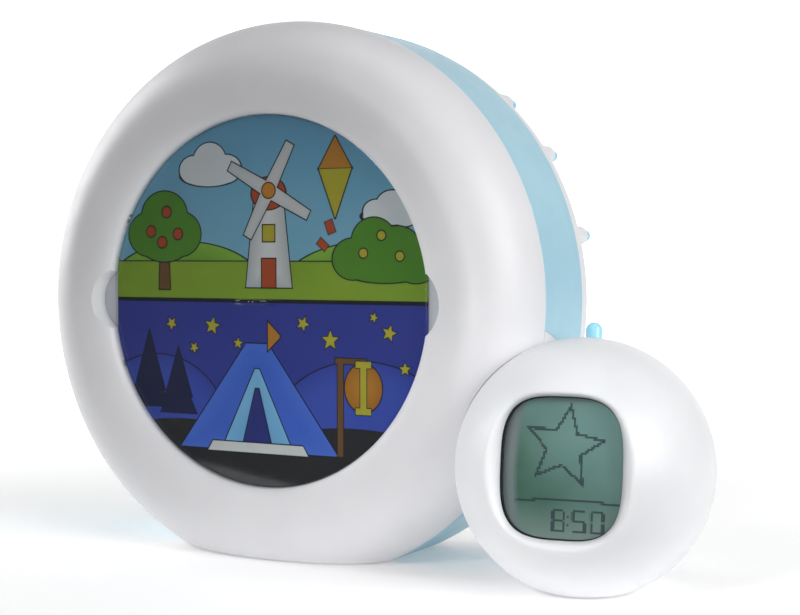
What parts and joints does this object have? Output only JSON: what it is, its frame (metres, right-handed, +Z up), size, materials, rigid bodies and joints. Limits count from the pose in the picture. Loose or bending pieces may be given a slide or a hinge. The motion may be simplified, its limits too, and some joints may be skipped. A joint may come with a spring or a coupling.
{
  "type": "children's alarm clock with night light",
  "caption": "Round two-tone night light with a backlit picture disc and a small ball-shaped digital alarm clock docked in its side.",
  "frame": {"origin": "middle of the base pad's lower face, on the table", "axes": "+Z up, -Y the way the picture faces, +X towards the docked small clock"},
  "size_m": [0.2591, 0.1014, 0.1916],
  "materials": {
    "shell_white": "satin white moulding",
    "band_blue": "satin light blue moulding",
    "clear_blue": "translucent light blue moulding",
    "clear_cover": "clear polished moulding",
    "print": "printed translucent film",
    "diffuser": "frosted grey sheet",
    "inner_white": "plain white moulding",
    "board": "green solder mask",
    "light_board": "white solder mask",
    "leds": "lamp package",
    "black_plastic": "moulded black",
    "steel": "plated steel",
    "magnet": "ferrite",
    "cone": "pressed paper",
    "battery_wrap": "shrink sleeve",
    "gold": "gold plated",
    "rubber": "matt sheet rubber",
    "gasket": "black foam",
    "screen": "liquid crystal panel",
    "backlight": "light guide"
  },
  "bodies": {
    "case": {"front_bezel": "shell_white", "body_band": "band_blue", "rear_cover": "shell_white", "dock_cup": "shell_white", "base_pad": "rubber", "diffuser_panel": "diffuser", "light_box": "inner_white", "light_divider": "inner_white", "day_light_board": "light_board", "night_light_board": "light_board", "day_leds": "leds", "night_leds": "leds", "main_board": "board", "board_chips": "black_plastic", "speaker_basket": "steel", "speaker_magnet": "magnet", "speaker_cone": "cone", "battery_box": "inner_white", "batteries": "battery_wrap", "battery_springs": "steel", "battery_contacts": "steel", "button_board": "board", "button_switches": "black_plastic", "power_jack": "black_plastic", "dock_contacts": "gold", "bezel_screws": "steel", "rear_screws": "steel", "light_box_screws": "steel", "board_screws": "steel"},
    "picture_insert": {"picture_cover": "clear_cover", "picture_sheet": "print"},
    "upper_key": {"upper_button": "clear_blue"},
    "middle_key": {"middle_button": "clear_blue"},
    "lower_key": {"lower_button": "clear_blue"},
    "case_battery_hatch": {"battery_door": "shell_white", "battery_door_screw": "steel"},
    "small_clock": {"clock_front_shell": "shell_white", "clock_rear_shell": "shell_white", "window_lens": "clear_cover", "screen_gasket": "gasket", "lcd_panel": "screen", "screen_backlight": "backlight", "clock_board": "board", "clock_chip": "black_plastic", "clock_buzzer": "black_plastic", "clock_switch_board": "board", "clock_switches": "black_plastic", "clock_battery_box": "inner_white", "clock_batteries": "battery_wrap", "clock_battery_contacts": "steel", "clock_contact_pads": "gold", "clock_screws": "steel", "clock_foot_pad": "rubber"},
    "alarm_key": {"alarm_button": "clear_blue"},
    "mode_key": {"mode_button": "clear_blue"},
    "plus_key": {"plus_button": "clear_blue"},
    "minus_key": {"minus_button": "clear_blue"},
    "small_clock_hatch": {"clock_battery_door": "shell_white"}
  },
  "joints": [
    {"name": "picture_lift", "type": "slide", "parent": "case", "child": "picture_insert", "axis": [0, -1, 0], "range_m": [0, 0.03]},
    {"name": "upper_key_press", "type": "slide", "parent": "case", "child": "upper_key", "axis": [0, -1, 0], "range_m": [0, 0.001], "stiffness_N_per_m": 500, "springref_m": -0.001},
    {"name": "middle_key_press", "type": "slide", "parent": "case", "child": "middle_key", "axis": [0, -1, 0], "range_m": [0, 0.001], "stiffness_N_per_m": 500, "springref_m": -0.001},
    {"name": "lower_key_press", "type": "slide", "parent": "case", "child": "lower_key", "axis": [0, -1, 0], "range_m": [0, 0.001], "stiffness_N_per_m": 500, "springref_m": -0.001},
    {"name": "case_battery_hatch_lift", "type": "slide", "parent": "case", "child": "case_battery_hatch", "axis": [0, 1, 0], "range_m": [0, 0.03]},
    {"name": "small_clock_undock", "type": "slide", "parent": "case", "child": "small_clock", "axis": [1, 0, 0], "range_m": [0, 0.06]},
    {"name": "alarm_key_press", "type": "slide", "parent": "small_clock", "child": "alarm_key", "axis": [0.0149, -0.121, -0.9925], "range_m": [0, 0.001], "stiffness_N_per_m": 500, "springref_m": -0.001},
    {"name": "mode_key_press", "type": "slide", "parent": "small_clock", "child": "mode_key", "axis": [0.121, -0.9851, 0.1219], "range_m": [0, 0.001], "stiffness_N_per_m": 500, "springref_m": -0.001},
    {"name": "plus_key_press", "type": "slide", "parent": "small_clock", "child": "plus_key", "axis": [0.121, -0.9851, 0.1219], "range_m": [0, 0.001], "stiffness_N_per_m": 500, "springref_m": -0.001},
    {"name": "minus_key_press", "type": "slide", "parent": "small_clock", "child": "minus_key", "axis": [0.121, -0.9851, 0.1219], "range_m": [0, 0.001], "stiffness_N_per_m": 500, "springref_m": -0.001},
    {"name": "small_clock_hatch_lift", "type": "slide", "parent": "small_clock", "child": "small_clock_hatch", "axis": [-0.121, 0.9851, -0.1219], "range_m": [0, 0.025]}
  ]
}
